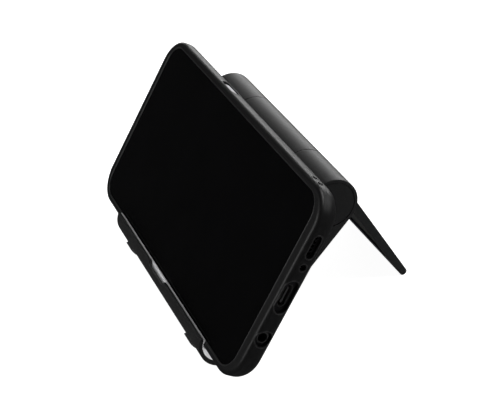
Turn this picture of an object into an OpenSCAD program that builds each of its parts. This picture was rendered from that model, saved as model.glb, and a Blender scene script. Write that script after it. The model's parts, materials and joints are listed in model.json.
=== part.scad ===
// Folding desk stand holding a smartphone that wears a slim flexible case.
// Millimetres, +Z up, the stand on the desk at Z = 0, the screen facing -Y.
// The device frame used by most modules lies flat: X along the handset towards
// its port end, Y up the screen from the cradle's lip to the hinge, Z out of
// the screen, with Z = 0 on the crest of the case's rim. in_row() then leans it
// back until the lip's feet and the leg's tip both touch the desk.

/* [Handset] */
// Length of the bare handset
phone_l = 149.7; // [120:0.1:180]
// Width of the bare handset
phone_w = 72.2; // [62:0.1:90]
// Thickness of the bare handset
phone_t = 7.6; // [7.2:0.1:10]
// Corner radius of the handset in plan
phone_corner = 10.4; // [8:0.1:14]
// Fillet from the handset's sides to its back
phone_back_r = 4.25; // [2:0.05:4.5]
// Fillet from the handset's sides to its front
phone_front_r = 0.9; // [0.4:0.05:1.2]
// Thickness of the handset's side wall
frame_wall = 3.2; // [3:0.1:5]
// Thickness of the display glass
glass_t = 0.65; // [0.4:0.05:0.8]
// Thickness of the back glass
back_glass_t = 0.75; // [0.5:0.05:1]
// Length at the port end that the display panel leaves free
panel_chin = 17; // [15:0.5:25]

/* [Case] */
// Wall of the case round the handset's sides
case_wall = 1.3; // [1:0.1:3]
// Wall of the case behind the handset
case_back = 1; // [0.8:0.05:2.5]
// Fillet from the case's sides to its back
case_back_r = 5.6; // [3:0.1:6.5]
// Fillet from the case's sides to its rim
case_front_r = 1.6; // [0.8:0.1:2]
// Height of the case's rim above the glass
rim_rise = 0.35; // [0.3:0.05:1.2]
// How far the case's rim reaches in over the handset's long sides
rim_reach = 1.35; // [1.2:0.05:3]
// How far the case's rim reaches in over the handset's ends, on average
rim_reach_end = 3.2; // [1.2:0.05:5]
// How far the rim's opening sits off the middle, away from the port end
rim_shift = 0.35; // [0:0.05:1]
// Corner radius of the rim's opening
rim_corner = 7.8; // [5:0.1:9]
// Gap between the case and what it holds
case_fit = 0.05; // [0.02:0.01:0.2]
// Length of the opening for the power key
power_cut_l = 12.4; // [9:0.1:20]
// Length of the opening for the volume keys
volume_cut_l = 25; // [22:0.1:32]
// Height of the openings for the keys
key_cut_h = 4.6; // [3.2:0.1:6]
// Radius of the two strap holes
strap_r = 0.95; // [0.5:0.05:1.5]
// Distance between the two strap holes
strap_pitch = 4.5; // [3:0.1:8]

/* [Ports] */
// Radius of the headphone jack's bore
jack_r = 1.75; // [1.25:0.05:2]
// Length of the headphone jack's bore
jack_l = 13; // [10:0.5:14]
// Outer width of the charging socket's shell
usb_w = 8.94; // [7:0.01:11]
// Outer height of the charging socket's shell
usb_h = 3.26; // [2.4:0.01:4]
// Depth of the charging socket
usb_l = 7.4; // [5:0.1:9]
// Length of the loudspeaker's slot in the case
speaker_cut_l = 8.8; // [6:0.1:12]

/* [Stand] */
// Width of the stand
stand_w = 98.2; // [80:0.1:130]
// Width of the middle knuckle, which carries the leg
leg_knuckle_w = 49; // [36:0.1:60]
// Radius of the hinge barrel
barrel_r = 9.8; // [8.5:0.1:13]
// Height of the hinge axis up the plate from the rim line
hinge_up = 62.5; // [50:0.1:80]
// Thickness of the plate behind the case
plate_t = 3; // [2:0.1:4]
// Thickness of the soft liner on the plate
liner_t = 1.1; // [0.6:0.1:2]
// Gap between the liner and the case
sit_gap = 0.2; // [0.1:0.05:0.5]
// Outer radius of the lip
lip_r = 9.4; // [8.5:0.1:11]
// Thickness of the lip's front wall at its top
hook_wall = 1.2; // [0.8:0.1:2]
// Thickness of the soft liner at the top of the front wall
hook_liner = 0.8; // [0.5:0.1:1.5]
// Width of the notch in the lip's front wall
notch_w = 17; // [8:0.5:40]
// Depth of the notch in the lip's front wall
notch_d = 2; // [1:0.1:3]
// How far the stand's middle is from the case's middle, along the case
sit_offset = 1.7; // [-10:0.1:10]

/* [Leg] */
// Length of the leg from the hinge axis to its tip
leg_l = 69.5; // [60:0.1:75]
// Thickness of the leg at its root
leg_root_t = 4; // [3.4:0.1:6]
// Thickness of the leg at its tip, which is rounded
leg_tip_t = 3; // [2.4:0.1:3.4]
// Angle that the leg is open, counted from folded flat
leg_open = 74; // [60:0.5:85]
// Gap between the leg and the recess that it folds into
leg_gap = 0.45; // [0.3:0.05:1]

/* [Hinge] */
// Radius of the hinge axle
axle_r = 3; // [2:0.1:3.6]
// Radial running clearance of the axle in the leg's bushes
run_fit = 0.04; // [0.02:0.01:0.08]
// Wall of the leg's bushes
bush_wall = 1.2; // [0.8:0.1:1.6]
// Length of each bush
bush_l = 9; // [5:0.5:14]
// Radius of the caps that close the barrel's ends
cap_r = 8.6; // [7.8:0.1:9]
// Thickness of the end caps
cap_t = 1.5; // [1:0.1:2.5]
// Thickness of the friction washers between the knuckles
friction_t = 0.35; // [0.2:0.05:0.5]

/* [Feet] */
// Length of each foot under the lip
foot_l = 6.5; // [4:0.5:20]
// How far the feet stand out of the lip
foot_rise = 0.8; // [0.6:0.1:1.6]
// Distance between the middles of the two feet
foot_pitch = 70; // [50:1:90]

/* [Hidden] */
$fn = 64;
eps = 0.01;

// --- Case and handset, device frame ---
case_t = rim_rise + phone_t + case_fit + case_back;
case_skin = case_wall + case_fit;
case_l = phone_l + 2 * case_skin;
case_w = phone_w + 2 * case_skin;
case_corner = phone_corner + case_skin;
// The rim's inner edge along the lower side is the line Y = 0
phone_y0 = -rim_reach;
mid_y = phone_y0 + phone_w / 2;
case_low_y = phone_y0 - case_skin;
glass_z = -rim_rise;
phone_back_z = glass_z - phone_t;
port_z = glass_z - 3.25;
plate_top_z = glass_z - 2.1;
split_z = glass_z - 5.6;
deck_t = 0.8;
room_top_z = plate_top_z - deck_t;
room_low_z = phone_back_z + back_glass_t + case_fit;
room_h = room_top_z - room_low_z;
end_x = phone_l / 2;
room_x = end_x - frame_wall;
room_y = phone_w / 2 - frame_wall;
room_r = phone_corner - frame_wall;

// Places of the ports along the port end, from the middle
speaker_y = 19.7;
mic_y = 11.8;
jack_y = -16.9;
speaker_holes = 5;
speaker_pitch = 1.5;
speaker_hole_r = 0.55;
jack_sleeve = 0.45;
jack_box_h = 3.9;
usb_cut = [12.8, 5.4];
jack_cut_r = 3.1;
mic_cut_r = 1.25;
slot_h = 3;

// Keys
power_x = -19.8;
volume_x = -24;
volume_pitch = 11.6;
key_z = port_z - 0.2;
key_l = 10.6;
key_h = 2;
key_gap = 0.18;
key_proud = 0.7;
key_flange = 0.8;
key_flange_l = key_l + 0.8;
key_travel = 0.3;
strap_x = 61.2;
strap_z = -2.6;

// Rear cameras
camera_x = -end_x + 13.5;
camera_r = 4.1;
camera_pitch = 10;
camera_cut = [13, 31];
flash_r = 1.9;

// --- Stand, device frame ---
plate_z = -case_t - sit_gap - liner_t;
hinge_y = hinge_up;
hinge_z = plate_z - barrel_r;
hook_top_y = 0.3;
// Height of the case's front where the hook ends
hook_reach = max(0, case_low_y + case_front_r - hook_top_y);
case_at_hook_z = -case_front_r + sqrt(pow(case_front_r, 2) - pow(hook_reach, 2));
hook_in_z = case_at_hook_z + sit_gap + hook_liner;
hook_out_z = hook_in_z + hook_wall;
lip_wall = 1.9;
trough_r = lip_r - lip_wall;
lip_y = 1;
lip_z = hook_out_z - lip_r;
trough_z = hook_in_z - trough_r;

// The back of the wedge is the common tangent of the lip and the barrel
span_y = hinge_y - lip_y;
span_z = hinge_z - lip_z;
span = norm([span_y, span_z]);
back_normal = atan2(span_z, span_y) - acos((lip_r - barrel_r) / span);
back_slope = back_normal + 90;
tan_lip = [lip_y + lip_r * cos(back_normal), lip_z + lip_r * sin(back_normal)];
tan_barrel = [hinge_y + barrel_r * cos(back_normal), hinge_z + barrel_r * sin(back_normal)];
back_l = norm(tan_barrel - tan_lip);
function back_line_z(y) = tan_lip[1] + (y - tan_lip[0]) * tan(back_slope);

half_w = stand_w / 2;
leg_half_w = leg_knuckle_w / 2;
seam = friction_t + 0.1;
leg_side_inset = 0.5;
fold_turn = back_slope + 180;
leg_turn = fold_turn + leg_open;

// Lean of the device frame, from the two contacts with the desk
tip_r = leg_tip_t / 2;
tip_local = [leg_l - tip_r, barrel_r - tip_r];
tip_y = hinge_y + tip_local[0] * cos(leg_turn) - tip_local[1] * sin(leg_turn);
tip_z = hinge_z + tip_local[0] * sin(leg_turn) + tip_local[1] * cos(leg_turn);
foot_flat = 0.15;
foot_front_turn = 66;
foot_back_turn = 16;
foot_reach = lip_r + foot_rise - foot_flat;
rest_d = [lip_y - tip_y, lip_z - tip_z];
up_turn = atan2(rest_d[1], rest_d[0]) - acos((foot_reach - tip_r) / norm(rest_d));
lean = 90 - up_turn;
function row_y(p) = p[0] * cos(lean) - p[1] * sin(lean);
function row_z(p) = p[0] * sin(lean) + p[1] * cos(lean);
desk_z = row_z([lip_y, lip_z]) - foot_reach;
front_y = row_y([lip_y, lip_z]) - max(lip_r, (lip_r + foot_rise) * sin(foot_front_turn));
rear_y = row_y([tip_y, tip_z]) + tip_r;
middle_y = (front_y + rear_y) / 2;
// Direction from the lip's centre to the desk, as a turn from +Y
down_turn = 270 - lean;

// Pods: hollow wedges each side of the leg, closed by a cover at the back
pod_wall = 2;
cover_t = 1.6;
cover_ledge = 1.4;
cover_gap = 0.1;
pod_low_y = 9;
pod_high_y = hinge_y - barrel_r - 3.5;
pod_in_x = leg_half_w + pod_wall + leg_gap;
pod_out_x = half_w - pod_wall;
screw_r = 1;
screw_head_r = 1.9;
screw_head_t = 0.8;
screw_l = 6;
screw_land = 5;

// Hinge
nut_r = 5.2;
nut_t = 3.6;
head_r = 5;
head_t = 2.4;
spring_t = 0.9;
spring_count = 3;
washer_t = 0.8;
cap_gap = 0.1;
end_pocket_r = 6.6;
end_pocket_l = 11;
bush_r = axle_r + run_fit + bush_wall;
axle_fit = 0.02;
pocket_floor_x = half_w - end_pocket_l;
cap_floor_x = half_w - cap_t;

// Leg
cover_panel_t = 1.45;
cover_sink = 0.7;
leg_border = 3;
leg_panel_y0 = barrel_r + 4;
foot_strip_l = 4;
strip_tongue_l = 2.4;
strip_tongue_t = 1;
strip_gap = 0.03;
leg_panel_y1 = leg_l - foot_strip_l - strip_tongue_l - 2.5;
leg_taper = atan((leg_root_t - leg_tip_t) / (leg_l - tip_r));

body_black = [0.09, 0.09, 0.095];
case_black = [0.07, 0.07, 0.075];
screen_black = [0.02, 0.02, 0.022];
liner_grey = [0.62, 0.62, 0.63];
steel = [0.62, 0.63, 0.65];
board_green = [0.08, 0.24, 0.15];
alloy = [0.45, 0.46, 0.48];

// --- Placing ---

module in_row() {
  translate([0, -middle_y, -desk_z])
    rotate([lean, 0, 0])
      children();
}

// The stand's own middle, in the device frame
module at_stand() {
  in_row()
    translate([sit_offset, 0, 0])
      children();
}

// A YZ outline drawn with X as Y and Y as Z, extruded from x0 to x1
module along_x(x0, x1) {
  translate([x0, 0, 0])
    rotate([90, 0, 90])
      linear_extrude(height = x1 - x0)
        children();
}

// The hinge axis, with the leg's length along +Y and its outer face on +Z
module at_leg() {
  at_stand()
    translate([0, hinge_y, hinge_z])
      rotate([leg_turn, 0, 0])
        children();
}

module at_hinge() {
  at_stand()
    translate([0, hinge_y, hinge_z])
      children();
}

// The back face of the wedge: +Y up the back from the lip, +Z into the wedge
module at_back() {
  translate([0, tan_lip[0], tan_lip[1]])
    rotate([back_slope, 0, 0])
      children();
}

// A cylinder along +X from x0 to x1
module rod(x0, x1, r) {
  translate([x0, 0, 0])
    rotate([0, 90, 0])
      cylinder(h = x1 - x0, r = r);
}

// A tube along +X
module tube(x0, x1, r_out, r_in) {
  difference() {
    rod(x0, x1, r_out);
    rod(x0 - 1, x1 + 1, r_in);
  }
}

// --- Plates with round corners ---

module round_rect(l, w, r) {
  square([l - 2 * r, w], center = true);
  square([l, w - 2 * r], center = true);
  for (sx = [-1, 1])
    for (sy = [-1, 1])
      translate([sx * (l / 2 - r), sy * (w / 2 - r)])
        circle(r = r);
}

// A slab with round corners, its middle on the handset's middle
module slab(l, w, r, z0, z1) {
  translate([0, mid_y, z0])
    linear_extrude(height = z1 - z0)
      round_rect(l, w, r);
}

// A plate whose rim has the section drawn by the child, where X runs from the
// corner's centre out to r and Y is the height between z0 and z1
module rimmed_plate(l, w, r, z0, z1) {
  cx = l / 2 - r;
  cy = w / 2 - r;
  translate([0, mid_y, 0]) {
    for (i = [0 : 3]) {
      sx = (i == 0 || i == 3) ? 1 : -1;
      sy = (i < 2) ? 1 : -1;
      translate([sx * cx, sy * cy, 0])
        rotate([0, 0, 90 * i])
          rotate_extrude(angle = 90)
            children();
      side = (i % 2 == 0) ? 2 * cy : 2 * cx;
      out = (i % 2 == 0) ? cx : cy;
      rotate([0, 0, 90 * i])
        translate([out, side / 2, 0])
          rotate([90, 0, 0])
            linear_extrude(height = side)
              children();
    }
    translate([-cx, -cy, z0])
      cube([2 * cx, 2 * cy, z1 - z0]);
  }
}

// Half of an edge's section, from X = 0 out to reach and from low up to high,
// with its outer corners rounded by back_r and front_r
module edge_section(reach, low, high, back_r, front_r) {
  translate([0, low])
    square([reach - back_r, high - low]);
  translate([0, low + back_r])
    square([reach - front_r, high - low - back_r]);
  translate([0, low + back_r])
    square([reach, high - low - back_r - front_r]);
  intersection() {
    translate([reach - back_r, low + back_r])
      circle(r = back_r);
    translate([reach - back_r, low])
      square([back_r, back_r]);
  }
  intersection() {
    translate([reach - front_r, high - front_r])
      circle(r = front_r);
    translate([reach - front_r, high - front_r])
      square([front_r, front_r]);
  }
}

// Section of the case
module case_section() {
  edge_section(case_corner, -case_t, 0, case_back_r, case_front_r);
}

// Section of the handset, grown outwards by g
module phone_section(g) {
  edge_section(phone_corner + g, phone_back_z - g, glass_z, phone_back_r + g, phone_front_r + g);
}

module phone_form(g) {
  rimmed_plate(phone_l + 2 * g, phone_w + 2 * g, phone_corner + g, phone_back_z - g, glass_z)
    phone_section(g);
}

// --- Openings shared by the case and the handset ---

// A slot through the port end, size y by z, from x0 outwards
module end_slot(y, w, h, x0) {
  translate([x0, mid_y + y, port_z])
    rotate([90, 0, 90])
      linear_extrude(height = case_l)
        round_rect(w, h, h / 2 - eps);
}

module end_hole(y, r, x0) {
  translate([x0, mid_y + y, port_z])
    rod(0, case_l, r);
}

// A slot through a long side, size x by z; side 1 is the upper side
module side_slot(x, z, l, h, r, side, y0, y1) {
  translate([x, mid_y + side * y0, z])
    rotate([-90 * side, 0, 0])
      linear_extrude(height = y1 - y0)
        round_rect(l, h, r);
}

// --- Case ---

module case_shell() {
  rim_open_l = phone_l - 2 * rim_reach_end;
  rim_open_w = phone_w - 2 * rim_reach;
  cut_y = phone_w / 2 - 1;
  cut_far = case_w / 2 + 2;
  color(case_black)
    in_row()
      difference() {
        rimmed_plate(case_l, case_w, case_corner, -case_t, 0)
          case_section();
        phone_form(case_fit);
        translate([-rim_shift, 0, 0])
          slab(rim_open_l, rim_open_w, rim_corner, glass_z - 1, 1);
        end_slot(speaker_y, speaker_cut_l, slot_h, end_x - 1);
        end_hole(mic_y, mic_cut_r, end_x - 1);
        end_slot(0, usb_cut[0], usb_cut[1], end_x - 1);
        end_hole(jack_y, jack_cut_r, end_x - 1);
        side_slot(power_x, port_z, power_cut_l, key_cut_h, 1.6, 1, cut_y, cut_far);
        side_slot(volume_x, port_z, volume_cut_l, key_cut_h, 1.6, -1, cut_y, cut_far);
        for (s = [-0.5, 0.5])
          translate([strap_x + s * strap_pitch, mid_y + cut_y, strap_z])
            rotate([-90, 0, 0])
              cylinder(h = case_wall + 6, r = strap_r);
        translate([camera_x, mid_y, -case_t - 1])
          linear_extrude(height = case_back + 2)
            round_rect(camera_cut[0], camera_cut[1], camera_cut[0] / 2 - eps);
      }
}

// --- Handset ---

module display_glass() {
  inset = phone_front_r + case_fit;
  color(screen_black)
    in_row()
      slab(phone_l - 2 * inset, phone_w - 2 * inset, phone_corner - inset, glass_z - glass_t, glass_z);
}

// The panel's place, shrunk by g
module panel_slab(g, z0, z1) {
  inset = phone_front_r + 1 + g;
  translate([-panel_chin / 2, 0, 0])
    slab(phone_l - panel_chin - 2 * inset, phone_w - 2 * inset, phone_corner - inset, z0, z1);
}

module display_panel() {
  color(screen_black)
    in_row()
      panel_slab(case_fit, plate_top_z + case_fit, glass_z - glass_t - 2 * case_fit);
}

module mid_frame() {
  jack_room = jack_l + 1.5;
  color(alloy)
    in_row()
      difference() {
        phone_form(0);
        translate([-phone_l, mid_y - phone_w, phone_back_z - 1])
          cube([2 * phone_l, 2 * phone_w, split_z - phone_back_z + 1]);
        slab(phone_l - 2 * phone_front_r, phone_w - 2 * phone_front_r, phone_corner - phone_front_r,
             glass_z - glass_t - case_fit, 1);
        panel_slab(0, plate_top_z, glass_z - glass_t);
        slab(2 * room_x, 2 * room_y, room_r, room_low_z - 1, room_top_z);
        for (i = [0 : speaker_holes - 1])
          end_hole(speaker_y + (i - (speaker_holes - 1) / 2) * speaker_pitch, speaker_hole_r, room_x - 1);
        end_hole(mic_y, 0.5, room_x - 1);
        end_slot(0, usb_w + 2 * case_fit, usb_h + 2 * case_fit, end_x - usb_l - 1);
        end_hole(jack_y, jack_r + jack_sleeve + case_fit, room_x - 1.6);
        translate([end_x - jack_room, mid_y + jack_y - jack_box / 2 - 0.2, split_z - 1])
          cube([jack_room - frame_wall, jack_box + 0.4, port_z + jack_box_h / 2 + 0.1 - split_z + 1]);
        for (k = keys())
          key_room(k[0], k[1]);
        translate([-end_x - 1, mid_y + sim_y - sim_w / 2 - case_fit, sim_z - sim_h / 2 - case_fit])
          cube([frame_wall + 2, sim_w + 2 * case_fit, sim_h + 2 * case_fit]);
      }
}

// The back glass is a dish: the handset's form below the frame, hollowed
module back_glass() {
  color(screen_black)
    in_row()
      difference() {
        intersection() {
          phone_form(0);
          translate([-phone_l, mid_y - phone_w, phone_back_z - 1])
            cube([2 * phone_l, 2 * phone_w, split_z - case_fit - phone_back_z + 1]);
        }
        phone_form(-back_glass_t);
        for (s = [-1, 0])
          translate([camera_x, mid_y + camera_row(s), phone_back_z - 1])
            cylinder(h = 3, r = camera_r + 0.3);
        translate([camera_x, mid_y + camera_row(1), phone_back_z - 1])
          cylinder(h = 3, r = flash_r + 0.05);
      }
}

// Row of two cameras and the flash across the handset, for s of -1, 0 and 1
function camera_row(s) = s * camera_pitch - (s == 1 ? 1.5 : 0);

// A block in the handset's rear room: middle x, middle y, length, width, z0, z1
module block(x, y, l, w, z0, z1) {
  translate([x - l / 2, mid_y + y - w / 2, z0])
    cube([l, w, z1 - z0]);
}

sim_z = room_top_z - 1.1;
sim_y = 16;
sim_w = 16;
sim_h = 1.6;
sim_l = 17;
board_t = 0.8;
board_top = room_top_z - 1.1;
board_low = board_top - board_t;
board_x0 = -room_x + 0.4;
board_x1 = board_x0 + phone_l * 0.27;
battery_x0 = board_x1 + 1.5;
battery_x1 = room_x - 23;
sub_x0 = battery_x1 + 1.5;
sub_x1 = room_x - 0.4;
board_w = 2 * room_y - 5;
sub_usb_l = usb_l + 1.5;

module battery() {
  color([0.16, 0.16, 0.17])
    in_row()
      block((battery_x0 + battery_x1) / 2, 0, battery_x1 - battery_x0, board_w - 6,
            room_low_z + 0.3, room_top_z - 0.2);
}

// The child's part that keeps clear of the room's round corners
module in_room() {
  intersection() {
    slab(2 * room_x - 0.8, 2 * room_y - 0.8, room_r - 0.4, room_low_z, room_top_z);
    children();
  }
}

module main_board() {
  color(board_green)
    in_row()
      difference() {
        in_room()
          block((board_x0 + board_x1) / 2, 0, board_x1 - board_x0, board_w, board_low, board_top);
        block(camera_x, -camera_pitch / 2, 2 * camera_r + 2, camera_pitch + 2 * camera_r + 2,
              board_low - 1, board_top + 1);
        translate([camera_x, mid_y + camera_row(1), board_low - 1])
          cylinder(h = 3, r = flash_r + 0.4);
        block(-room_x + sim_l / 2, sim_y, sim_l + 3, sim_w + 1.4, board_low - 1, board_top + 1);
        front_camera_hole();
        board_holes(main_screws());
      }
}

module front_camera_hole() {
  translate([front_camera_x, mid_y + front_camera_y, board_low - 1])
    cylinder(h = 3, r = 3);
}

front_camera_x = -room_x + 5;
front_camera_y = 4;
edge_screw = 2.2;
board_screw_r = 0.7;
function main_screws() = [
  [board_x1 - edge_screw, board_w / 2 - edge_screw],
  [board_x1 - edge_screw, -board_w / 2 + edge_screw],
  [board_x1 - edge_screw, 0],
  [board_x0 + edge_screw, -board_w / 2 + edge_screw]
];
function sub_screws() = [
  [sub_x0 + edge_screw, board_w / 2 - edge_screw],
  [sub_x0 + edge_screw, -board_w / 2 + edge_screw]
];

module board_holes(places) {
  for (p = places)
    translate([p[0], mid_y + p[1], board_low - 1])
      cylinder(h = 3, r = board_screw_r + 0.1);
}

module board_screws() {
  color(steel)
    in_row()
      for (p = concat(main_screws(), sub_screws()))
        translate([p[0], mid_y + p[1], board_low - 0.45]) {
          cylinder(h = 0.4, r = 1.3);
          cylinder(h = board_top - board_low + 0.6, r = board_screw_r);
        }
}

module board_shields() {
  shield_low = room_low_z + 0.5;
  shield_x0 = camera_x + camera_r + 2;
  color(steel)
    in_row()
      for (s = [-1, 1])
        block((shield_x0 + board_x1 - 5.4) / 2, s * board_w * 0.23, board_x1 - 5.4 - shield_x0,
              board_w * 0.36, shield_low, board_low - 0.05);
}

module sub_board() {
  color(board_green)
    in_row()
      difference() {
        in_room()
          block((sub_x0 + sub_x1) / 2, 0, sub_x1 - sub_x0, board_w, board_low, board_top);
        block(sub_x1 - sub_usb_l / 2 + 1, 0, sub_usb_l + 2, usb_w + 1.2, board_low - 1, board_top + 1);
        block(sub_x1 - jack_l / 2 + 1, jack_y, jack_l + 2, jack_box + 0.8, board_low - 1, board_top + 1);
        block(sub_x1 - speaker_l / 2, speaker_box_y, speaker_l + 2, speaker_w + 0.8,
              board_low - 1, board_top + 1);
        board_holes(sub_screws());
      }
}

module usb_c_socket() {
  wall = 0.3;
  mouth_x = end_x - 0.4;
  tongue = [usb_l - 1.2, 6.2, 0.7];
  color(steel)
    in_row() {
      difference() {
        translate([mouth_x - usb_l, mid_y, port_z])
          rotate([90, 0, 90])
            linear_extrude(height = usb_l)
              round_rect(usb_w, usb_h, usb_h / 2 - eps);
        translate([mouth_x - usb_l + 0.8, mid_y, port_z])
          rotate([90, 0, 90])
            linear_extrude(height = usb_l)
              round_rect(usb_w - 2 * wall, usb_h - 2 * wall, usb_h / 2 - wall - eps);
      }
      translate([mouth_x - usb_l + 0.7, mid_y - tongue[1] / 2, port_z - tongue[2] / 2])
        cube(tongue);
    }
}

jack_box = 4.4;
module headphone_jack() {
  mouth_x = end_x - 0.4;
  color([0.2, 0.2, 0.21])
    in_row()
      difference() {
        union() {
          translate([mouth_x - jack_l - 1, mid_y + jack_y - jack_box / 2, port_z - jack_box_h / 2])
            cube([jack_l + 1 - frame_wall, jack_box, jack_box_h]);
          translate([0, mid_y + jack_y, port_z])
            rod(mouth_x - frame_wall - 1, mouth_x, jack_r + jack_sleeve);
        }
        translate([0, mid_y + jack_y, port_z])
          rod(mouth_x - jack_l, mouth_x + 1, jack_r);
      }
}

speaker_l = 13;
speaker_w = 11;
speaker_box_y = 21.7;
module loudspeaker() {
  color([0.14, 0.14, 0.15])
    in_row()
      block(room_x - speaker_l / 2 - 0.4, speaker_box_y, speaker_l, speaker_w,
            room_low_z + 0.4, room_top_z - 0.2);
}

module bottom_microphone() {
  color(steel)
    in_row()
      block(room_x - 1.9, mic_y, 3, 2.8, board_low - 1.05, board_low - 0.05);
}

module earpiece() {
  color([0.14, 0.14, 0.15])
    in_row()
      block(-room_x + 2.7, -17, 4, 12, board_low - 1.6, board_low - 0.05);
}

module front_camera() {
  color([0.05, 0.05, 0.06])
    in_row()
      translate([front_camera_x, mid_y + front_camera_y, board_low - 1.2])
        cylinder(h = room_top_z - board_low + 1.1, r = 2.6);
}

module rear_cameras() {
  color([0.05, 0.05, 0.06])
    in_row()
      for (s = [-1, 0])
        translate([camera_x, mid_y + camera_row(s), room_low_z - back_glass_t + 0.5])
          cylinder(h = room_h + back_glass_t - 0.8, r = camera_r - 0.2);
}

module camera_windows() {
  color([0.03, 0.03, 0.04])
    in_row()
      for (s = [-1, 0])
        translate([camera_x, mid_y + camera_row(s), phone_back_z - 0.3])
          cylinder(h = 0.6, r = camera_r + 0.25);
}

module flash_window() {
  color([0.9, 0.88, 0.75])
    in_row()
      translate([camera_x, mid_y + camera_row(1), phone_back_z - 0.05])
        cylinder(h = back_glass_t + 0.6, r = flash_r);
}

// Place along the handset and side of the power key and the two volume keys
function keys() = [
  [power_x, 1],
  [volume_x - volume_pitch / 2, -1],
  [volume_x + volume_pitch / 2, -1]
];

// A key's slot through the frame's wall, with room for its flange and switch
module key_room(x, side) {
  side_slot(x, key_z, key_l + 2 * key_gap, key_h + 2 * key_gap, 0.9, side, room_y - 1, case_w);
  side_slot(x, key_z, key_flange_l + 0.1, key_h + 2 * key_gap, 0.9, side, room_y - 2.6, room_y);
}

// A side key: cap through the frame's wall, held by a flange inside
module side_key(x, side) {
  face_y = phone_w / 2;
  stem_y = room_y - key_gap - key_flange;
  color(alloy)
    in_row() {
      side_slot(x, key_z, key_l, key_h, 0.7, side, stem_y, face_y + key_proud);
      side_slot(x, key_z, key_flange_l, key_h, 0.7, side, stem_y, stem_y + key_flange);
    }
}

module power_key() {
  side_key(power_x, 1);
}

module volume_up_key() {
  side_key(volume_x - volume_pitch / 2, -1);
}

module volume_down_key() {
  side_key(volume_x + volume_pitch / 2, -1);
}

module key_switches() {
  back_y = room_y - key_gap - key_flange - key_travel - 0.15;
  color(steel)
    in_row()
      for (k = keys())
        side_slot(k[0], key_z, 3, 1.6, 0.4, k[1], back_y - 0.7, back_y);
}

module vibration_motor() {
  color(steel)
    in_row()
      translate([sub_x0 + 3.9, mid_y + board_w / 2 - 9, room_low_z + 0.4])
        cylinder(h = board_low - room_low_z - 0.6, r = 3.6);
}

module sim_tray() {
  color(alloy)
    in_row()
      translate([-end_x + 0.1, mid_y + sim_y - sim_w / 2, sim_z - sim_h / 2])
        cube([sim_l, sim_w, sim_h]);
}

// --- Stand ---

// Outline of the wedge, the barrel and the lip, with the trough open
module stand_outline() {
  difference() {
    union() {
      translate([hinge_y, hinge_z])
        circle(r = barrel_r);
      translate([lip_y, lip_z])
        circle(r = lip_r);
      polygon([[lip_y, plate_z], tan_lip, tan_barrel, [hinge_y, plate_z]]);
    }
    intersection() {
      translate([lip_y, trough_z])
        circle(r = trough_r);
      translate([-50, plate_z])
        square([100, 50]);
    }
    translate([hook_top_y - hook_wall / 2, plate_z])
      square([200, 60]);
  }
  translate([hook_top_y - hook_wall / 2, (hook_in_z + hook_out_z) / 2])
    circle(r = hook_wall / 2);
}

// Room for the folded leg and its knuckle, from the plate's back outwards
module leg_room() {
  room_half = leg_half_w;
  plate_back = plate_z - plate_t;
  along_x(-room_half, room_half) {
    translate([hinge_y, hinge_z])
      circle(r = barrel_r + leg_gap);
    polygon([
      [leg_nest_end(plate_back), plate_back],
      [-30, leg_nest_z(-30)],
      [-30, back_line_z(-30) - 10],
      [hinge_y, plate_back - 40],
      [hinge_y, plate_back]
    ]);
  }
}

// The folded leg's inner face, with its gap, as a line in the device frame
nest_slope = back_slope - leg_taper;
nest_depth = leg_tip_t + leg_gap;
nest_y0 = tan_barrel[0] - leg_l * cos(back_slope);
function leg_nest_z(y) = back_line_z(nest_y0) + nest_depth / cos(back_slope)
  + (y - nest_y0) * tan(nest_slope);
function leg_nest_end(z) = nest_y0 + (z - leg_nest_z(nest_y0)) / tan(nest_slope);

module pod_hollow(side) {
  low = pod_low_y;
  high = pod_high_y;
  plate_back = plate_z - plate_t;
  x0 = side > 0 ? pod_in_x + cover_ledge : -pod_out_x + cover_ledge;
  x1 = side > 0 ? pod_out_x - cover_ledge : -pod_in_x - cover_ledge;
  along_x(x0, x1)
    polygon([
      [low + screw_land, plate_back],
      [low + screw_land, back_line_z(low + screw_land)],
      [high - screw_land, back_line_z(high - screw_land)],
      [high - screw_land, plate_back]
    ]);
}

// The cover's own outline on the back face: x0, y0, length and width, shrunk by g
module cover_slab(side, z0, z1, g) {
  x0 = side > 0 ? pod_in_x : -pod_out_x;
  y0 = (pod_low_y - tan_lip[0]) / cos(back_slope);
  y1 = (pod_high_y - tan_lip[0]) / cos(back_slope);
  translate([x0 + g, y0 + g, z0])
    cube([pod_out_x - pod_in_x - 2 * g, y1 - y0 - 2 * g, z1 - z0]);
}

module at_pod_screws(side) {
  y0 = (pod_low_y - tan_lip[0]) / cos(back_slope) + screw_land / 2 + 0.3;
  y1 = (pod_high_y - tan_lip[0]) / cos(back_slope) - screw_land / 2 - 0.3;
  for (y = [y0, y1])
    translate([side * (pod_in_x + pod_out_x) / 2, y, 0])
      children();
}

// The notch in the lip's front wall
module notch() {
  translate([0, hook_top_y, hook_in_z - hook_liner - 0.2])
    linear_extrude(height = lip_r)
      difference() {
        translate([-notch_w / 2, -notch_d])
          square([notch_w, notch_d + 10]);
        for (s = [-1, 1])
          difference() {
            translate([s * (notch_w / 2 - notch_d / 2) - notch_d / 2, -notch_d])
              square([notch_d, notch_d]);
            translate([s * (notch_w / 2 - notch_d), 0])
              circle(r = notch_d);
          }
      }
}

// A foot's ring sector on the lip, from under the desk side up its front,
// less g degrees at each end
module foot_sector(r0, r1, g) {
  from = down_turn - foot_front_turn + g;
  to = down_turn + foot_back_turn - g;
  intersection() {
    difference() {
      circle(r = r1);
      circle(r = r0);
    }
    polygon([
      [0, 0],
      2 * r1 * [cos(from), sin(from)],
      2 * r1 * [cos(to), sin(to)]
    ]);
  }
}

foot_inset = 0.7;

module at_feet() {
  for (s = [-1, 1])
    translate([s * foot_pitch / 2, lip_y, lip_z])
      children();
}

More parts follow.
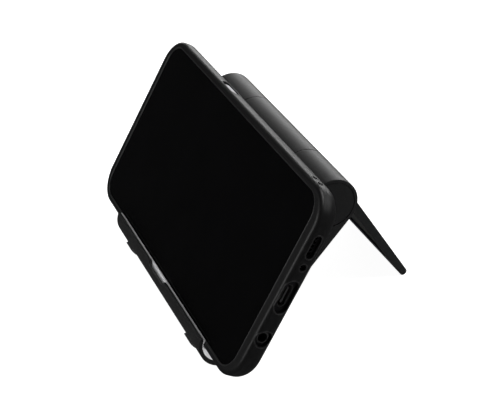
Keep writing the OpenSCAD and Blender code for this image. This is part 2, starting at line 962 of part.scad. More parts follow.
module cradle() {
  color(body_black)
    at_stand()
      difference() {
        along_x(-half_w, half_w)
          stand_outline();
        leg_room();
        notch();
        for (side = [-1, 1]) {
          pod_hollow(side);
          at_back()
            cover_slab(side, -1, cover_t, 0);
          at_back()
            at_pod_screws(side)
              cylinder(h = screw_l, r = screw_r + 0.05);
        }
        translate([0, hinge_y, hinge_z]) {
          rod(-half_w - 1, half_w + 1, axle_r + axle_fit);
          for (s = [-1, 1])
            mirror([s < 0 ? 1 : 0, 0, 0]) {
              rod(pocket_floor_x, half_w + 1, end_pocket_r);
              rod(cap_floor_x, half_w + 1, cap_r + cap_gap);
            }
        }
        at_feet()
          along_x(-foot_l / 2, foot_l / 2)
            foot_sector(lip_r - foot_inset, lip_r + 3, 0);
      }
}

module pod_cover(side) {
  color(body_black)
    at_stand()
      at_back()
        difference() {
          cover_slab(side, 0, cover_t - 0.02, cover_gap);
          at_pod_screws(side)
            translate([0, 0, -1])
              cylinder(h = 4, r = screw_r + 0.1);
          at_pod_screws(side)
            translate([0, 0, -1])
              cylinder(h = 1 + screw_head_t, r = screw_head_r + 0.15);
        }
}

module left_pod_cover() {
  pod_cover(-1);
}

module right_pod_cover() {
  pod_cover(1);
}

module pod_screws() {
  color(steel)
    at_stand()
      at_back()
        for (side = [-1, 1])
          at_pod_screws(side)
            difference() {
              union() {
                translate([0, 0, 0.1])
                  cylinder(h = screw_head_t - 0.12, r = screw_head_r);
                translate([0, 0, 0.1])
                  cylinder(h = screw_l - 0.3, r = screw_r);
              }
              translate([0, 0, -0.2])
                cylinder(h = 0.75, r = 0.9, $fn = 6);
            }
}

// Outline of the case's lower side, grown by g and open upwards
module case_side_outline(g) {
  low = case_low_y - g;
  back_r = case_back_r + g;
  front_r = case_front_r + g;
  translate([low + back_r, -case_t - g])
    square([200, case_t + 2 * g]);
  translate([low, -case_t - g + back_r])
    square([200, case_t + 2 * g - back_r - front_r]);
  translate([low + front_r, -case_front_r])
    square([200, front_r]);
  translate([low + back_r, -case_t - g + back_r])
    circle(r = back_r);
  translate([low + front_r, g - front_r])
    circle(r = front_r);
}

// The liner fills the trough to the case's round side and runs up the plate
module cradle_liner() {
  top_y = hinge_y - barrel_r - 2;
  color(liner_grey)
    at_stand()
      difference() {
        along_x(-half_w, half_w)
          difference() {
            union() {
              intersection() {
                translate([lip_y, trough_z])
                  circle(r = trough_r);
                translate([-50, plate_z])
                  square([50 + hook_top_y - 0.1, 50]);
              }
              translate([hook_top_y - 1, plate_z])
                square([top_y - hook_top_y + 1, liner_t]);
            }
            case_side_outline(sit_gap);
          }
      }
}

module lip_feet() {
  color([0.2, 0.2, 0.2])
    at_stand()
      at_feet()
        intersection() {
          along_x(-foot_l / 2 + 0.05, foot_l / 2 - 0.05)
            foot_sector(lip_r - foot_inset + 0.02, lip_r + foot_rise, 0.3);
          rotate([down_turn, 0, 0])
            translate([-foot_l, 0, -2 * lip_r])
              cube([2 * foot_l, foot_reach, 4 * lip_r]);
        }
}

// --- Hinge ---

module hinge_axle() {
  color(steel)
    at_hinge() {
      rod(-pocket_floor_x - washer_t - 0.1 - head_t, -pocket_floor_x - washer_t - 0.1, head_r);
      rod(-pocket_floor_x - washer_t - 0.2, nut_x1 + 0.8, axle_r);
    }
}

stack_x0 = pocket_floor_x + washer_t + 0.1;
stack_x1 = stack_x0 + spring_count * (spring_t + 0.1);
nut_x0 = stack_x1 + 0.05;
nut_x1 = nut_x0 + nut_t;

module axle_nut() {
  color(steel)
    at_hinge()
      difference() {
        translate([nut_x0, 0, 0])
          rotate([0, 90, 0])
            cylinder(h = nut_t, r = nut_r, $fn = 6);
        rod(0, half_w, axle_r + axle_fit);
      }
}

module disc_springs() {
  color(steel)
    at_hinge()
      for (i = [0 : spring_count - 1])
        tube(stack_x0 + i * (spring_t + 0.1), stack_x0 + i * (spring_t + 0.1) + spring_t,
             end_pocket_r - 0.6, axle_r + 0.1);
}

module axle_washers() {
  color(steel)
    at_hinge()
      for (s = [-1, 1])
        mirror([s < 0 ? 1 : 0, 0, 0])
          tube(pocket_floor_x + 0.05, pocket_floor_x + washer_t, end_pocket_r - 0.3, axle_r + 0.1);
}

module friction_washers() {
  color([0.3, 0.3, 0.31])
    at_hinge()
      for (s = [-1, 1])
        mirror([s < 0 ? 1 : 0, 0, 0])
          tube(leg_half_w - friction_t - 0.02, leg_half_w - 0.02, barrel_r - 1.6, axle_r + 0.1);
}

module end_cap(side) {
  color(body_black)
    at_hinge()
      mirror([side < 0 ? 1 : 0, 0, 0]) {
        rod(cap_floor_x + 0.02, half_w, cap_r);
        tube(cap_floor_x - 1.5, cap_floor_x + 0.1, end_pocket_r - 0.05, end_pocket_r - 1.1);
      }
}

module left_end_cap() {
  end_cap(-1);
}

module right_end_cap() {
  end_cap(1);
}

// --- Leg ---

leg_w = 2 * (leg_half_w - seam);
blade_w = leg_w - 2 * leg_side_inset;

// Side outline of the leg's blade, local frame
module blade_outline() {
  polygon([
    [0, barrel_r - leg_root_t],
    [leg_l - tip_r, barrel_r - leg_tip_t],
    [leg_l - tip_r, barrel_r],
    [0, barrel_r]
  ]);
  translate([leg_l - tip_r, barrel_r - tip_r])
    circle(r = tip_r);
}

// The last stretch of the blade, which is the soft strip
module strip_zone(g) {
  translate([-blade_w, leg_l - foot_strip_l + g, 0])
    cube([2 * blade_w, foot_strip_l + 1, barrel_r + 1]);
}

module strip_tongue(g) {
  y0 = leg_l - foot_strip_l - strip_tongue_l;
  translate([-blade_w / 2 + 3 - g, y0 - g, barrel_r - tip_r - strip_tongue_t / 2 - g])
    cube([blade_w - 6 + 2 * g, strip_tongue_l + 1, strip_tongue_t + 2 * g]);
}

// Places the child on the blade's inner face: +Y to the tip, +Z into the blade
module at_inner_face() {
  translate([0, 0, barrel_r - leg_root_t])
    rotate([leg_taper, 0, 0])
      children();
}

module inner_panel(g, z0, z1) {
  translate([-blade_w / 2 + leg_border + g, leg_panel_y0 + g, z0])
    cube([blade_w - 2 * leg_border - 2 * g, leg_panel_y1 - leg_panel_y0 - 2 * g, z1 - z0]);
}

leg_screw_r = 0.8;
leg_screw_head = 1.5;
module at_leg_screws() {
  for (sx = [-1, 1])
    for (y = [leg_panel_y0 + 4, leg_panel_y1 - 4])
      translate([sx * (blade_w / 2 - leg_border - 4), y, 0])
        children();
}

module leg() {
  color(body_black)
    at_leg()
      difference() {
        union() {
          rod(-leg_w / 2, leg_w / 2, barrel_r);
          along_x(-blade_w / 2, blade_w / 2)
            blade_outline();
        }
        rod(-leg_w, leg_w, axle_r + 0.4);
        for (s = [-1, 1])
          mirror([s < 0 ? 1 : 0, 0, 0])
            rod(leg_w / 2 - bush_l, leg_w, bush_r + axle_fit);
        strip_zone(0);
        strip_tongue(strip_gap);
        at_inner_face() {
          inner_panel(0, -1, cover_panel_t);
          at_leg_screws()
            cylinder(h = cover_panel_t + 0.7, r = leg_screw_r + 0.05);
        }
      }
}

module leg_inner_cover() {
  color(body_black)
    at_leg()
      at_inner_face()
        difference() {
          inner_panel(cover_gap, cover_sink, cover_panel_t - 0.02);
          at_leg_screws() {
            translate([0, 0, -1])
              cylinder(h = 4, r = leg_screw_r + 0.1);
            translate([0, 0, -1])
              cylinder(h = cover_sink + 1.45, r = leg_screw_head + 0.1);
          }
        }
}

module leg_cover_screws() {
  color(steel)
    at_leg()
      at_inner_face()
        at_leg_screws()
          difference() {
            union() {
              translate([0, 0, cover_sink + 0.05])
                cylinder(h = 0.38, r = leg_screw_head);
              translate([0, 0, cover_sink + 0.05])
                cylinder(h = cover_panel_t + 0.55 - cover_sink, r = leg_screw_r);
            }
            translate([0, 0, cover_sink - 0.2])
              cylinder(h = 0.5, r = 0.6, $fn = 6);
          }
}

module leg_bushes() {
  color([0.75, 0.72, 0.6])
    at_leg()
      for (s = [-1, 1])
        mirror([s < 0 ? 1 : 0, 0, 0])
          tube(leg_w / 2 - bush_l + 0.05, leg_w / 2, bush_r, axle_r + run_fit);
}

module leg_foot_strip() {
  color([0.12, 0.12, 0.12])
    at_leg() {
      intersection() {
        along_x(-blade_w / 2, blade_w / 2)
          blade_outline();
        strip_zone(strip_gap);
      }
      strip_tongue(0);
    }
}

cradle();
left_pod_cover();
right_pod_cover();
pod_screws();
cradle_liner();
lip_feet();
hinge_axle();
axle_nut();
disc_springs();
axle_washers();
friction_washers();
left_end_cap();
right_end_cap();
leg();
leg_inner_cover();
leg_cover_screws();
leg_bushes();
leg_foot_strip();
case_shell();
display_glass();
display_panel();
mid_frame();
back_glass();
battery();
main_board();
board_shields();
board_screws();
sub_board();
usb_c_socket();
headphone_jack();
loudspeaker();
bottom_microphone();
earpiece();
front_camera();
rear_cameras();
camera_windows();
flash_window();
power_key();
volume_up_key();
volume_down_key();
key_switches();
vibration_motor();
sim_tray();
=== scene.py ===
"""A folding desk stand holding a smartphone in a slim black case, as a studio render.

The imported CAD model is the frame. Its nodes get their finishes here, and the
small moulded and turned details are added as pieces that ride on its bodies.
"""

import json
import math

import bmesh
import bpy
from mathutils import Matrix, Vector


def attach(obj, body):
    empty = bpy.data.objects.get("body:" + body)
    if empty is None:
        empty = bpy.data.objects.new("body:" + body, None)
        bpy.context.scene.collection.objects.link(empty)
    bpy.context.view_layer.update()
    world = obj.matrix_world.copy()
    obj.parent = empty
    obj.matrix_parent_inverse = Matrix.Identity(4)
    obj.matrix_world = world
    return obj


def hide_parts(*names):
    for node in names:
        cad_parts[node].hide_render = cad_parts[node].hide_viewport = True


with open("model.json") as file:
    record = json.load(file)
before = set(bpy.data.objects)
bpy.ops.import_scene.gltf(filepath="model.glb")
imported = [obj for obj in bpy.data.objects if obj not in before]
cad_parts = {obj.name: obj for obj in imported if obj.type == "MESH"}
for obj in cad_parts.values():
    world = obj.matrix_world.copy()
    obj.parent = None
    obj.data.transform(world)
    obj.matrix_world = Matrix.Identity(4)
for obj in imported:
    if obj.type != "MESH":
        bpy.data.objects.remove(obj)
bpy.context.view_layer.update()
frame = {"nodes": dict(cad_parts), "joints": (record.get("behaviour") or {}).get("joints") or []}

MM = 0.001

# --- Sizes of the CAD parts that the details sit on, in millimetres ---
PHONE_L = 149.7
PHONE_W = 72.2
CASE_T = 9.0
CASE_SKIN = 1.35
CASE_L = PHONE_L + 2 * CASE_SKIN
CASE_W = PHONE_W + 2 * CASE_SKIN
CASE_BACK_R = 5.6
CASE_FRONT_R = 1.6
GLASS_Z = -0.35
PHONE_T = 7.6
PHONE_BACK_Z = GLASS_Z - PHONE_T
SCREEN_TO_RIM = 1.35
MID_Y = PHONE_W / 2 - SCREEN_TO_RIM
PORT_DEPTH = 3.25
PORT_Z = GLASS_Z - PORT_DEPTH
END_X = PHONE_L / 2
RIM_SHIFT = 0.35
RIM_L = 143.3
RIM_W = 69.5
RIM_CORNER = 7.8
STAND_MID = 1.7
STAND_W = 98.2
HINGE_Y = 62.5
HINGE_Z = -20.1
CAP_R = 8.6
CAP_T = 1.5
CAMERA_X = -END_X + 13.5
CAMERA_PITCH = 10.0

# --- The device frame: flat on the screen, X along it, Z out of the glass ---
JOINTS = {j["name"]: j for j in frame["joints"]}
LIFT = Vector(JOINTS["case_lift"]["axis"])
LEAN = math.atan2(LIFT.z, LIFT.y)
TILT = Matrix.Rotation(LEAN, 4, "X")
HINGE_AT = Vector(JOINTS["leg_hinge"]["pos_m"])
ORIGIN = HINGE_AT - TILT @ Vector((STAND_MID, HINGE_Y, HINGE_Z)) * MM
DEVICE = Matrix.Translation(ORIGIN) @ TILT


def place(x, y, z):
    """A point of the device frame, given in millimetres, in the row frame."""
    return DEVICE @ (Vector((x, y, z)) * MM)


# --- Materials ---

def noise(tree, coords, scale, detail=3.0, rough=0.55):
    n = tree.nodes.new("ShaderNodeTexNoise")
    n.inputs["Scale"].default_value = scale
    n.inputs["Detail"].default_value = detail
    n.inputs["Roughness"].default_value = rough
    tree.links.new(coords, n.inputs["Vector"])
    return n.outputs["Fac"]


def spread(tree, value, low, high):
    """The noise's usable middle, spread from low to high."""
    m = tree.nodes.new("ShaderNodeMapRange")
    m.inputs["From Min"].default_value = 0.3
    m.inputs["From Max"].default_value = 0.7
    m.inputs["To Min"].default_value = low
    m.inputs["To Max"].default_value = high
    tree.links.new(value, m.inputs["Value"])
    return m.outputs["Result"]


def finish(name, dark, light, rough, tint_scale, grain_scale, grain_depth, metallic=0.0,
           specular=0.5, coat=0.0, edge_r=0.15, wave=None):
    """A moulded, turned or pressed finish: two close tones, uneven gloss, fine grain
    and edges that are eased by edge_r millimetres."""
    mat = bpy.data.materials.new(name)
    mat.use_nodes = True
    tree = mat.node_tree
    shader = tree.nodes["Principled BSDF"]
    shader.inputs["Metallic"].default_value = metallic
    shader.inputs["Specular IOR Level"].default_value = specular
    shader.inputs["Coat Weight"].default_value = coat
    shader.inputs["Coat Roughness"].default_value = 0.12
    coords = tree.nodes.new("ShaderNodeTexCoord").outputs["Object"]

    tone = tree.nodes.new("ShaderNodeValToRGB")
    tone.color_ramp.elements[0].position = 0.32
    tone.color_ramp.elements[0].color = (*dark, 1)
    tone.color_ramp.elements[1].position = 0.68
    tone.color_ramp.elements[1].color = (*light, 1)
    tree.links.new(noise(tree, coords, tint_scale), tone.inputs["Fac"])
    tree.links.new(tone.outputs["Color"], shader.inputs["Base Color"])
    tree.links.new(spread(tree, noise(tree, coords, tint_scale * 2.7), *rough),
                   shader.inputs["Roughness"])

    edges = tree.nodes.new("ShaderNodeBevel")
    edges.samples = 4
    edges.inputs["Radius"].default_value = edge_r * MM
    height = noise(tree, coords, grain_scale, detail=2.0)
    if wave is not None:
        lines = tree.nodes.new("ShaderNodeTexWave")
        lines.bands_direction = wave[0]
        lines.inputs["Scale"].default_value = wave[1]
        lines.inputs["Distortion"].default_value = 0.6
        tree.links.new(coords, lines.inputs["Vector"])
        both = tree.nodes.new("ShaderNodeMath")
        both.operation = "ADD"
        tree.links.new(height, both.inputs[0])
        tree.links.new(lines.outputs["Fac"], both.inputs[1])
        height = both.outputs["Value"]
    bump = tree.nodes.new("ShaderNodeBump")
    bump.inputs["Strength"].default_value = 1.0
    bump.inputs["Distance"].default_value = grain_depth * MM
    tree.links.new(height, bump.inputs["Height"])
    tree.links.new(edges.outputs["Normal"], bump.inputs["Normal"])
    tree.links.new(bump.outputs["Normal"], shader.inputs["Normal"])
    return mat


def glass_finish(name, tone, rough, specular, coat=0.0):
    """Opaque dark glass: even and smooth, with a trace of haze."""
    return finish(name, tone, tuple(c * 1.25 for c in tone), rough, 60, 900, 0.0006,
                  specular=specular, coat=coat, edge_r=0.2)


MATERIALS = {
    "stand": finish("stand_plastic", (0.010, 0.010, 0.0103), (0.016, 0.016, 0.0164), (0.36, 0.50),
                    900, 2600, 0.010, specular=0.5, edge_r=0.3),
    "cap": finish("cap_plastic", (0.010, 0.010, 0.0105), (0.014, 0.014, 0.0145), (0.45, 0.55),
                  900, 3200, 0.007, specular=0.35, edge_r=0.2),
    "case": finish("case_tpu", (0.0045, 0.0045, 0.0048), (0.007, 0.007, 0.0073), (0.34, 0.46),
                   500, 5200, 0.004, specular=0.35, edge_r=0.35),
    # Lighter tone than the case for its rim bead and opening lips: a painted highlight along the case's
    # edges
    "edge": finish("case_edge_painted_highlight", (0.016, 0.016, 0.0165), (0.024, 0.024, 0.0245), (0.30, 0.40),
                   500, 5200, 0.003, specular=0.5, edge_r=0.1),
    # Still lighter tone for the lips round the power key and strap holes on the lit long side: a painted
    # highlight, not wear
    "painted_highlight_edge": finish("case_painted_highlight_edge", (0.07, 0.07, 0.071), (0.10, 0.10, 0.101), (0.32, 0.42),
                        500, 5200, 0.003, specular=0.5, edge_r=0.1),
    # Steel darkened well below the plain steel: painted shade inside the charging socket and the jack
    "port": finish("steel_painted_shade", (0.10, 0.10, 0.10), (0.14, 0.14, 0.14), (0.35, 0.45),
                   700, 4000, 0.003, metallic=0.8, edge_r=0.1),
    "screen": glass_finish("screen_glass", (0.0022, 0.0022, 0.0024), (0.16, 0.20), 0.06),
    "display": glass_finish("display", (0.003, 0.003, 0.0035), (0.3, 0.4), 0.3),
    "back": glass_finish("back_glass", (0.006, 0.006, 0.007), (0.08, 0.12), 0.5, coat=0.4),
    "lens": glass_finish("lens", (0.004, 0.005, 0.008), (0.04, 0.06), 0.6, coat=0.6),
    "liner": finish("liner", (0.76, 0.76, 0.77), (0.84, 0.84, 0.85), (0.62, 0.78),
                    1500, 4200, 0.012, specular=0.3, edge_r=0.25),
    "rubber": finish("foot_rubber", (0.060, 0.060, 0.061), (0.085, 0.085, 0.086), (0.55, 0.7),
                     1200, 3600, 0.012, specular=0.35, edge_r=0.25),
    "strip": finish("strip_rubber", (0.010, 0.010, 0.0103), (0.016, 0.016, 0.0164), (0.55, 0.7),
                    1200, 3600, 0.012, specular=0.3, edge_r=0.25),
    "frame": finish("frame_alloy", (0.035, 0.035, 0.037), (0.045, 0.045, 0.048), (0.3, 0.4),
                    700, 6000, 0.003, metallic=0.9, edge_r=0.15),
    "key": finish("key_alloy", (0.30, 0.30, 0.31), (0.36, 0.36, 0.37), (0.26, 0.36),
                  700, 6000, 0.003, metallic=0.9, edge_r=0.25),
    "steel": finish("steel", (0.48, 0.48, 0.49), (0.58, 0.58, 0.60), (0.24, 0.38),
                    500, 3000, 0.003, metallic=1.0, edge_r=0.12),
    "gold": finish("contact_gold", (0.62, 0.44, 0.16), (0.72, 0.52, 0.20), (0.2, 0.3),
                   900, 4000, 0.002, metallic=1.0, edge_r=0.05),
    "polymer": finish("friction_polymer", (0.10, 0.10, 0.10), (0.13, 0.13, 0.13), (0.5, 0.6),
                      900, 3000, 0.006),
    "bush": finish("bush_polymer", (0.50, 0.46, 0.33), (0.58, 0.54, 0.40), (0.4, 0.5),
                   900, 3000, 0.006),
    "wrap": finish("battery_wrap", (0.035, 0.035, 0.038), (0.05, 0.05, 0.054), (0.4, 0.55),
                   300, 1500, 0.01),
    "board": finish("board", (0.012, 0.060, 0.035), (0.020, 0.085, 0.050), (0.3, 0.45),
                    1200, 2500, 0.008),
    "module": finish("module_plastic", (0.014, 0.014, 0.016), (0.022, 0.022, 0.024), (0.4, 0.55),
                     900, 4000, 0.004),
    "flash": finish("flash_window", (0.72, 0.66, 0.42), (0.84, 0.78, 0.55), (0.15, 0.25),
                    600, 2500, 0.004, specular=0.6, wave=("Z", 420)),
}

NODE_FINISHES = {
    "stand": ["cradle", "left_pod_cover", "right_pod_cover", "leg", "leg_inner_cover"],
    "cap": ["left_end_cap", "right_end_cap"],
    "case": ["case_shell"],
    "screen": ["display_glass"],
    "display": ["display_panel"],
    "back": ["back_glass"],
    "lens": ["camera_windows"],
    "liner": ["cradle_liner"],
    "rubber": ["lip_feet"],
    "strip": ["leg_foot_strip"],
    "frame": ["mid_frame", "sim_tray"],
    "key": ["power_key", "volume_up_key", "volume_down_key"],
    "steel": ["pod_screws", "hinge_axle", "axle_nut", "disc_springs", "axle_washers",
              "leg_cover_screws", "board_shields", "board_screws", "bottom_microphone",
              "key_switches", "vibration_motor"],
    # The socket's steel is darkened: painted shade in its recess
    "port": ["usb_c_socket"],
    "polymer": ["friction_washers"],
    "bush": ["leg_bushes"],
    "wrap": ["battery"],
    "board": ["main_board", "sub_board"],
    "module": ["headphone_jack", "loudspeaker", "earpiece", "front_camera", "rear_cameras"],
    "flash": ["flash_window"],
}


def paint_nodes():
    for key, names in NODE_FINISHES.items():
        for name in names:
            mesh = frame["nodes"][name].data
            mesh.materials.clear()
            mesh.materials.append(MATERIALS[key])


# --- Making pieces ---

def piece(name, bm, finish_key, body, replaces=()):
    """Turns a bmesh drawn in the row frame into a piece that rides on a body."""
    bmesh.ops.recalc_face_normals(bm, faces=bm.faces)
    mesh = bpy.data.meshes.new(name)
    bm.to_mesh(mesh)
    bm.free()
    for polygon in mesh.polygons:
        polygon.use_smooth = True
    obj = bpy.data.objects.new(name, mesh)
    bpy.context.scene.collection.objects.link(obj)
    obj.data.materials.append(MATERIALS[finish_key])
    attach(obj, body)
    if replaces:
        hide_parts(*replaces)
    return obj


def sweep(bm, path, radius, sides=10):
    """A closed bead of round section along points of the device frame."""
    count = len(path)
    rings = []
    for i, p in enumerate(path):
        along = (path[(i + 1) % count] - path[i - 1]).normalized()
        across = along.cross(Vector((0, 0, 1)))
        if across.length < 0.1:
            across = along.cross(Vector((0, 1, 0)))
        across.normalize()
        up = across.cross(along)
        ring = []
        for k in range(sides):
            turn = 2 * math.pi * k / sides
            q = p + radius * (math.cos(turn) * across + math.sin(turn) * up)
            ring.append(bm.verts.new(place(*q)))
        rings.append(ring)
    for i in range(count):
        a, b = rings[i], rings[(i + 1) % count]
        for k in range(sides):
            bm.faces.new((a[k], a[(k + 1) % sides], b[(k + 1) % sides], b[k]))


def round_outline(length, width, radius, step=0.5):
    """Points round a rectangle with round corners, in its own plane."""
    points = []
    cx, cy = length / 2 - radius, width / 2 - radius
    arc_steps = max(8, round(radius * math.pi / 2 / step))
    for quarter, (sx, sy) in enumerate(((1, 1), (-1, 1), (-1, -1), (1, -1))):
        for k in range(arc_steps + 1):
            turn = math.pi / 2 * (quarter + k / arc_steps)
            points.append(Vector((sx * cx + radius * math.cos(turn), sy * cy + radius * math.sin(turn))))
    filled = []
    for i, p in enumerate(points):
        q = points[(i + 1) % len(points)]
        parts = max(1, math.ceil((q - p).length / (4 * step)))
        for k in range(parts):
            filled.append(p.lerp(q, k / parts))
    return [p for i, p in enumerate(filled) if (p - filled[i - 1]).length > 1e-4]


def lathe(bm, centre, axis, profile, sides=64):
    """Turns (along, radius) pairs round an axis of the device frame."""
    axis = Vector(axis).normalized()
    side = axis.orthogonal().normalized()
    other = axis.cross(side)
    centre = Vector(centre)
    rings = []
    for along, radius in profile:
        if radius < 1e-6:
            rings.append([bm.verts.new(place(*(centre + axis * along)))])
            continue
        ring = []
        for k in range(sides):
            turn = 2 * math.pi * k / sides
            spoke = math.cos(turn) * side + math.sin(turn) * other
            ring.append(bm.verts.new(place(*(centre + axis * along + radius * spoke))))
        rings.append(ring)
    for a, b in zip(rings, rings[1:]):
        for k in range(sides):
            j = (k + 1) % sides
            corners = [a[k % len(a)], a[j % len(a)], b[j % len(b)], b[k % len(b)]]
            distinct = list(dict.fromkeys(corners))
            if len(distinct) > 2:
                bm.faces.new(distinct)


def rounded_block(bm, centre, size, radius):
    """A small block with eased edges, in the device frame."""
    made = bmesh.ops.create_cube(bm, size=1.0)
    verts = made["verts"]
    for v in verts:
        v.co = Vector((v.co.x * size[0], v.co.y * size[1], v.co.z * size[2])) + Vector(centre)
    edges = {e for v in verts for e in v.link_edges}
    out = bmesh.ops.bevel(bm, geom=list(edges), offset=radius, segments=2, affect="EDGES",
                          profile=0.5)
    moved = {v for f in out["faces"] for v in f.verts} | {v for v in verts if v.is_valid}
    for v in moved:
        v.co = place(*v.co)


# --- The case's outer surface ---

def side_depth(z):
    """How far the case's side has drawn in from its widest, at height z."""
    if z > -CASE_FRONT_R:
        rise = z + CASE_FRONT_R
        return CASE_FRONT_R - math.sqrt(max(0, CASE_FRONT_R ** 2 - rise ** 2))
    low = -CASE_T + CASE_BACK_R
    if z < low:
        drop = low - z
        return CASE_BACK_R - math.sqrt(max(0, CASE_BACK_R ** 2 - drop ** 2))
    return 0


def on_end(y, z, lift=0.0):
    """A point on the end with the charging socket, lifted out of the surface."""
    return Vector((CASE_L / 2 - side_depth(z) + lift, MID_Y + y, z))


def on_top(x, z, lift=0.0):
    """A point on the long side with the power key, lifted out of the surface."""
    return Vector((x, MID_Y + CASE_W / 2 - side_depth(z) + lift, z))


# --- Details of the case ---
PORT_LIP_R = 0.26
PORT_LIP_SINK = -0.14
SPEAKER_Y = 19.7
MIC_Y = 11.8
JACK_Y = -16.9
USB_CUT = (12.8, 5.4)
SPEAKER_CUT = (8.8, 3.0)
JACK_CUT_R = 3.1
MIC_CUT_R = 1.25
POWER_X = -19.8
POWER_CUT = (12.4, 4.6)
STRAP_X = 61.2
STRAP_Z = -2.6
STRAP_R = 0.95
STRAP_PITCH = 4.5
RIM_BEAD_R = 0.32
RIM_BEAD_RISE = 0.12
RIM_BEAD_OUT = 0.3
LIP_STEP = 0.25
LIP_OVERHANG = 0.03
CAMERA_GUARD = (13.2, 31.2, 6.55)
GUARD_R = 0.5
GUARD_SINK = 0.1


def grown_outline(length, width, radius):
    """The line a lip follows round an opening, so that it narrows it by a hair only."""
    grow = PORT_LIP_R - LIP_OVERHANG
    corner = radius + grow - 0.01
    return round_outline(length + 2 * grow, width + 2 * grow, corner, step=LIP_STEP)


def build_case_details():
    bm = bmesh.new()
    rim = round_outline(RIM_L + RIM_BEAD_OUT, RIM_W + RIM_BEAD_OUT, RIM_CORNER, step=0.9)
    bead_z = RIM_BEAD_RISE - RIM_BEAD_R
    sweep(bm, [Vector((p.x - RIM_SHIFT, MID_Y + p.y, bead_z)) for p in rim], RIM_BEAD_R)
    # The rim bead takes the lighter edge tone: a painted highlight along the inner rim
    piece("case_rim_bead", bm, "edge", "handset_in_case")

    bm = bmesh.new()
    slots = [(SPEAKER_Y, *SPEAKER_CUT), (0, *USB_CUT), (MIC_Y, 2 * MIC_CUT_R, 2 * MIC_CUT_R),
             (JACK_Y, 2 * JACK_CUT_R, 2 * JACK_CUT_R)]
    for y, width, height in slots:
        outline = grown_outline(width, height, height / 2)
        sweep(bm, [on_end(y + p.x, PORT_Z + p.y, PORT_LIP_SINK) for p in outline], PORT_LIP_R)
    # The lips round the end's openings take the lighter edge tone: a painted highlight
    piece("case_opening_lips", bm, "edge", "handset_in_case")

    bm = bmesh.new()
    outline = grown_outline(*POWER_CUT, 1.6)
    sweep(bm, [on_top(POWER_X + p.x, PORT_Z + p.y, PORT_LIP_SINK) for p in outline], PORT_LIP_R)
    for s in (-0.5, 0.5):
        outline = grown_outline(2 * STRAP_R, 2 * STRAP_R, STRAP_R)
        sweep(bm, [on_top(STRAP_X + s * STRAP_PITCH + p.x, STRAP_Z + p.y, PORT_LIP_SINK)
                   for p in outline], PORT_LIP_R)
    # These lips are lighter than the end's lips because this side is lit: a painted highlight
    piece("case_upper_lips", bm, "painted_highlight_edge", "handset_in_case")

    bm = bmesh.new()
    outline = round_outline(*CAMERA_GUARD, step=0.6)
    guard_z = GUARD_SINK - CASE_T
    sweep(bm, [Vector((CAMERA_X + p.x, MID_Y + p.y, guard_z)) for p in outline], GUARD_R)
    piece("case_camera_guard", bm, "case", "handset_in_case")


# --- Details of the handset ---
JACK_MOUTH_IN = 0.4
JACK_CONTACTS = (3.5, 7.0, 10.5)
TONGUE_IN = 3.6
TONGUE_HALF = 0.37
CONTACTS_A_SIDE = 12
CONTACT_PITCH = 0.48
CONTACT_SIZE = (3.6, 0.26, 0.05)

def build_handset_details():
    bm = bmesh.new()
    for row in (0, -CAMERA_PITCH):
        lathe(bm, (CAMERA_X, MID_Y + row, PHONE_BACK_Z), (0, 0, -1),
              [(-0.28, 0), (-0.28, 4.3), (0.26, 4.3), (0.34, 4.2), (0.34, 3.55), (0.12, 3.4),
               (0.12, 2.7), (-0.02, 2.6), (-0.02, 1.9), (0.02, 1.4), (0.06, 0.8), (0.07, 0)])
    piece("camera_lenses", bm, "lens", "handset_in_case", replaces=["camera_windows"])

    bm = bmesh.new()
    for row in (0, -CAMERA_PITCH):
        lathe(bm, (CAMERA_X, MID_Y + row, PHONE_BACK_Z), (0, 0, -1),
              [(0.0, 4.36), (0.0, 4.9), (0.18, 4.95), (0.38, 4.8), (0.42, 4.6), (0.36, 4.4),
               (0.0, 4.36)])
    piece("camera_bezels", bm, "key", "handset_in_case")

    bm = bmesh.new()
    mouth = END_X - JACK_MOUTH_IN
    lathe(bm, (mouth, MID_Y + JACK_Y, PORT_Z), (1, 0, 0),
          [(0.0, 1.78), (0.1, 1.86), (0.16, 2.02), (0.12, 2.16), (0.0, 2.2), (0.0, 1.78)], 48)
    for depth in JACK_CONTACTS:
        lathe(bm, (mouth - depth, MID_Y + JACK_Y, PORT_Z), (1, 0, 0),
              [(-0.3, 1.745), (-0.25, 1.69), (0.25, 1.69), (0.3, 1.745), (-0.3, 1.745)], 40)
    # The jack's contacts take the darkened steel: painted shade inside the jack
    piece("jack_contacts", bm, "port", "handset_in_case")

    bm = bmesh.new()
    for side in (-1, 1):
        for k in range(CONTACTS_A_SIDE):
            y = MID_Y + (k - (CONTACTS_A_SIDE - 1) / 2) * CONTACT_PITCH
            centre = (END_X - TONGUE_IN, y, PORT_Z + side * TONGUE_HALF)
            rounded_block(bm, centre, CONTACT_SIZE, 0.015)
    piece("socket_contacts", bm, "gold", "handset_in_case")


# --- Details of the stand ---

# Section of the liner's rolled edge between the hook and the case's rim: y, z
LINER_EDGE = [(-1.2, 0.24), (0.2, 0.24), (0.32, 0.29), (0.4, 0.4), (0.44, 0.54), (0.42, 0.68),
              (0.34, 0.8), (0.2, 0.87), (-0.1, 0.86), (-0.5, 0.78), (-1.2, 0.6)]


def build_cap_faces():
    for name, side in (("left", -1), ("right", 1)):
        bm = bmesh.new()
        face_x = STAND_MID + side * STAND_W / 2
        lathe(bm, (face_x, HINGE_Y, HINGE_Z), (side, 0, 0),
              [(-CAP_T + 0.05, 0), (-CAP_T + 0.05, CAP_R), (-0.42, CAP_R), (-0.16, CAP_R - 0.08),
               (-0.03, CAP_R - 0.3), (0, CAP_R - 0.6), (-0.06, 4.0), (-0.08, 0)], 96)
        piece(name + "_cap_face", bm, "cap", "cradle",
              replaces=[name + "_end_cap"])


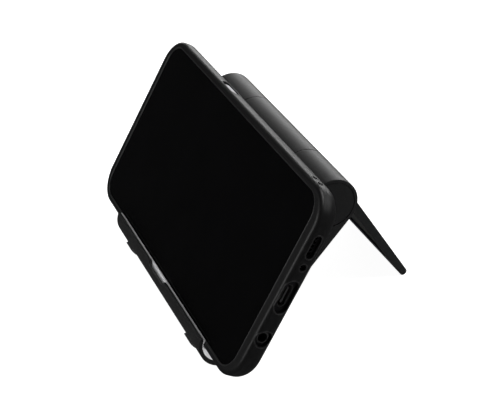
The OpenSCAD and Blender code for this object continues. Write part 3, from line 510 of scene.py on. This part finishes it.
def build_liner_edge():
    bm = bmesh.new()
    ends = []
    for side in (-1, 1):
        x = STAND_MID + side * (STAND_W / 2 - 0.1)
        ends.append([bm.verts.new(place(x, y, z)) for y, z in LINER_EDGE])
    for k in range(len(LINER_EDGE)):
        j = (k + 1) % len(LINER_EDGE)
        bm.faces.new((ends[0][k], ends[0][j], ends[1][j], ends[1][k]))
    for ring in ends:
        bm.faces.new(ring)
    piece("liner_edge", bm, "liner", "cradle")


# --- Camera, floor and light: the row frame, in millimetres and metres ---

CAMERA_AT = Vector((428.27, -166.86, 298.62)) * MM
CAMERA_AIM = Vector((-0.51, -10.82, 32.47)) * MM
CAMERA_ROLL = -3.11
LENS = 103.35
SENSOR = 36.0
# The floor lies a hair under the desk plane, in metres
FLOOR_DROP = -0.0002


def build_camera():
    data = bpy.data.cameras.new("camera")
    data.lens = LENS
    data.sensor_width = SENSOR
    data.clip_start = 0.01
    camera = bpy.data.objects.new("camera", data)
    bpy.context.scene.collection.objects.link(camera)
    turn = (CAMERA_AIM - CAMERA_AT).to_track_quat("-Z", "Y").to_matrix()
    roll = Matrix.Rotation(math.radians(CAMERA_ROLL), 3, "Z")
    camera.matrix_world = Matrix.Translation(CAMERA_AT) @ (turn @ roll).to_4x4()
    bpy.context.scene.camera = camera


def build_floor():
    bm = bmesh.new()
    bmesh.ops.create_circle(bm, cap_ends=True, segments=96, radius=4.0)
    mesh = bpy.data.meshes.new("floor")
    bm.to_mesh(mesh)
    bm.free()
    floor = bpy.data.objects.new("floor", mesh)
    floor.location.z = FLOOR_DROP
    bpy.context.scene.collection.objects.link(floor)
    mat = bpy.data.materials.new("floor_paper")
    mat.use_nodes = True
    tree = mat.node_tree
    shader = tree.nodes["Principled BSDF"]
    shader.inputs["Roughness"].default_value = 0.95
    shader.inputs["Specular IOR Level"].default_value = 0.0
    shader.inputs["Emission Color"].default_value = (1, 1, 1, 1)
    shader.inputs["Emission Strength"].default_value = 0.96
    coords = tree.nodes.new("ShaderNodeTexCoord").outputs["Object"]
    tone = tree.nodes.new("ShaderNodeValToRGB")
    tone.color_ramp.elements[0].color = (0.88, 0.88, 0.88, 1)
    tone.color_ramp.elements[1].color = (0.92, 0.92, 0.92, 1)
    tree.links.new(noise(tree, coords, 400), tone.inputs["Fac"])
    tree.links.new(tone.outputs["Color"], shader.inputs["Base Color"])
    floor.data.materials.append(mat)
    floor.visible_glossy = False


def softbox(name, at, aim, size, power):
    data = bpy.data.lights.new(name, "AREA")
    data.shape = "RECTANGLE"
    data.size, data.size_y = size
    data.energy = power
    light = bpy.data.objects.new(name, data)
    bpy.context.scene.collection.objects.link(light)
    at, aim = Vector(at), Vector(aim)
    facing = (aim - at).to_track_quat("-Z", "Y").to_matrix().to_4x4()
    light.matrix_world = Matrix.Translation(at) @ facing


def build_light():
    world = bpy.data.worlds.new("studio")
    world.use_nodes = True
    background = world.node_tree.nodes["Background"]
    background.inputs["Color"].default_value = (1, 1, 1, 1)
    background.inputs["Strength"].default_value = 0.04
    bpy.context.scene.world = world
    softbox("low_back_softbox", (-1.0, 0.62, 0.22), (0, 0, 0.05), (1.3, 0.35), 4.4)
    softbox("back_softbox", (0.2, 0.9, 0.45), (0, 0, 0.05), (0.8, 0.3), 1.3)
    softbox("top_softbox", (0.0, 0.5, 0.95), (0, 0, 0.04), (0.8, 0.5), 5.8)
    softbox("front_fill", (-0.15, -1.0, 0.4), (0, 0, 0.04), (0.7, 0.4), 3)


paint_nodes()
build_case_details()
build_handset_details()
build_cap_faces()
build_liner_edge()
build_camera()
build_floor()
build_light()
bpy.context.scene.view_settings.view_transform = "Standard"
